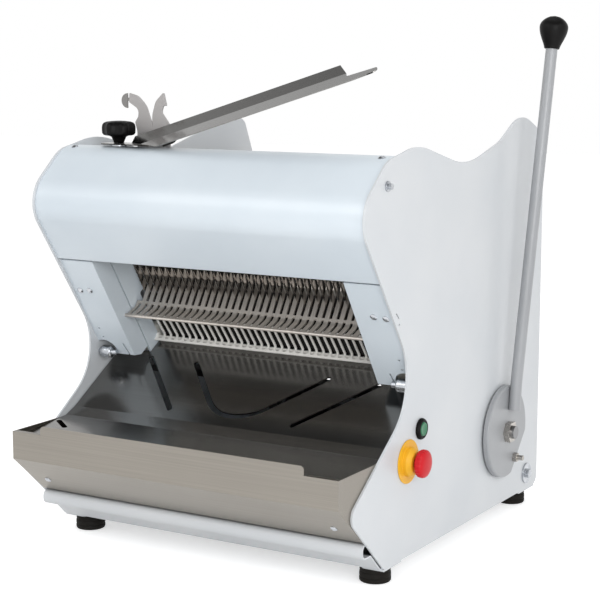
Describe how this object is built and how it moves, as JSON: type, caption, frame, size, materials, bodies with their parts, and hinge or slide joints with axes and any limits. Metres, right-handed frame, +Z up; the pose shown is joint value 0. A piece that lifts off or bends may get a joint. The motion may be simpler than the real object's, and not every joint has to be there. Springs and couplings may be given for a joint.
{
  "type": "bread slicer",
  "caption": "Table-top bread slicer: leaning counter-moving blade frames, hand feed lever with pusher, outfeed tray, hood with bagging shovel, start and stop buttons.",
  "frame": {"origin": "on the table under the feet, at the middle of the machine's bounding box seen from above", "axes": "+X to the operator's right, where the feed lever is; +Y from the outfeed tray in front to the back cover; +Z up"},
  "size_m": [0.634, 0.67, 0.7797],
  "materials": {
    "panel_paint": "light grey powder coat",
    "hood_paint": "pale blue-grey powder coat",
    "lever_paint": "light grey enamel",
    "motor_paint": "dark grey enamel",
    "stainless_sheet": "brushed stainless sheet",
    "polished_stainless": "polished stainless",
    "blade_steel": "ground blade steel",
    "frame_steel": "plain machined steel",
    "zinc_fasteners": "bright zinc plate",
    "gilt_zinc": "yellow passivated zinc",
    "bush_bronze": "turned bronze",
    "pulley_iron": "machined cast iron",
    "horn_paint": "light grey enamel",
    "comb_white": "white food-grade plastic",
    "guard_steel": "bright stainless strip",
    "comb_steel": "matt warm-grey stainless",
    "table_coat": "dark non-stick coat",
    "tip_grey": "grey moulded plastic",
    "black_plastic": "moulded black thermoset",
    "black_rubber": "moulded rubber",
    "stop_yellow": "yellow plastic disc",
    "stop_red": "red moulded plastic",
    "start_green": "green moulded plastic"
  },
  "bodies": {
    "root": {"base_pan": "panel_paint", "foot_brackets": "panel_paint", "rubber_feet": "black_rubber", "side_panel_left": "panel_paint", "side_panel_right": "panel_paint", "inner_frame_left": "hood_paint", "inner_frame_right": "hood_paint", "tie_bars": "frame_steel", "panel_bolts": "zinc_fasteners", "hood": "hood_paint", "cheek_left": "hood_paint", "cheek_right": "hood_paint", "infeed_table": "table_coat", "bay_wall_left": "stainless_sheet", "bay_wall_right": "stainless_sheet", "rear_cover": "panel_paint", "outfeed_tray": "polished_stainless", "front_fascia": "stainless_sheet", "outfeed_comb": "guard_steel", "tray_bolts": "zinc_fasteners", "cover_screws": "zinc_fasteners", "frame_guides": "comb_white", "crank_bearings": "pulley_iron", "motor": "motor_paint", "motor_mount": "frame_steel", "drive_belt": "black_rubber", "shaft_bushes": "bush_bronze", "start_bezel": "black_plastic", "stop_base": "stop_yellow", "electrical_box": "motor_paint", "cable_gland": "black_plastic", "shovel_stud": "zinc_fasteners", "bag_horns": "horn_paint", "horn_tip": "tip_grey"},
    "lever": {"lever_shaft": "frame_steel", "lever_hub": "lever_paint", "lever_nuts": "gilt_zinc", "lever_tube": "lever_paint", "lever_knob": "black_plastic", "feed_arms": "frame_steel"},
    "pusher": {"pusher_crossbar": "stainless_sheet", "pusher_rollers": "comb_white", "pusher_comb": "comb_white"},
    "front_frame": {"front_blade_frame": "frame_steel", "front_blades": "blade_steel", "front_con_rod": "frame_steel"},
    "rear_frame": {"rear_blade_frame": "frame_steel", "rear_blades": "blade_steel", "rear_con_rod": "frame_steel"},
    "crank": {"crankshaft": "frame_steel", "crank_pulley": "pulley_iron"},
    "rotor": {"motor_shaft": "frame_steel", "motor_pulley": "pulley_iron"},
    "slice_comb": {"retention_comb": "comb_steel"},
    "drawer": {"crumb_drawer": "stainless_sheet"},
    "start": {"start_button": "start_green"},
    "stop": {"stop_button": "stop_red"},
    "shovel": {"bagging_shovel": "polished_stainless", "shovel_pad": "black_rubber"},
    "knob": {"shovel_knob": "black_plastic"}
  },
  "joints": [
    {"name": "lever_swing", "type": "hinge", "parent": "root", "child": "lever", "pos_m": [-0.02369, 0.17, 0.143], "axis": [1, 0, 0], "range_deg": [0, 46]},
    {"name": "pusher_feed", "type": "slide", "parent": "root", "child": "pusher", "axis": [0, -0.8387, -0.5446], "range_m": [0, 0.25]},
    {"name": "front_frame_stroke", "type": "slide", "parent": "root", "child": "front_frame", "axis": [0, -0.5446, 0.8387], "range_m": [-0.015, 0.015]},
    {"name": "rear_frame_stroke", "type": "slide", "parent": "root", "child": "rear_frame", "axis": [0, -0.5446, 0.8387], "range_m": [-0.015, 0.015]},
    {"name": "crank_spin", "type": "hinge", "parent": "root", "child": "crank", "pos_m": [-0.02369, 0.04724, 0.14084], "axis": [1, 0, 0], "continuous": true},
    {"name": "motor_spin", "type": "hinge", "parent": "root", "child": "rotor", "pos_m": [-0.02369, 0.24, 0.118], "axis": [1, 0, 0], "continuous": true},
    {"name": "slice_comb_lift", "type": "hinge", "parent": "root", "child": "slice_comb", "pos_m": [-0.02369, -0.13802, 0.32697], "axis": [1, 0, 0], "range_deg": [0, 40]},
    {"name": "drawer_pull", "type": "slide", "parent": "root", "child": "drawer", "axis": [-1, 0, 0], "range_m": [0, 0.4]},
    {"name": "start_press", "type": "slide", "parent": "root", "child": "start", "axis": [-1, 0, 0], "range_m": [0, 0.003], "stiffness_N_per_m": 500},
    {"name": "stop_press", "type": "slide", "parent": "root", "child": "stop", "axis": [-1, 0, 0], "range_m": [0, 0.004]},
    {"name": "shovel_swivel", "type": "hinge", "parent": "root", "child": "shovel", "pos_m": [-0.21669, -0.174, 0.59], "axis": [0, 0, 1], "range_deg": [-90, 0]},
    {"name": "shovel_knob_turn", "type": "hinge", "parent": "root", "child": "knob", "pos_m": [-0.21669, -0.174, 0.59], "axis": [0, 0, 1], "continuous": true}
  ],
  "couplings": [
    {"joint": "pusher_feed", "follows": "lever_swing", "m_per_rad": 0.3113},
    {"joint": "rear_frame_stroke", "follows": "front_frame_stroke", "ratio": -1},
    {"joint": "motor_spin", "follows": "crank_spin", "ratio": 2.5}
  ]
}
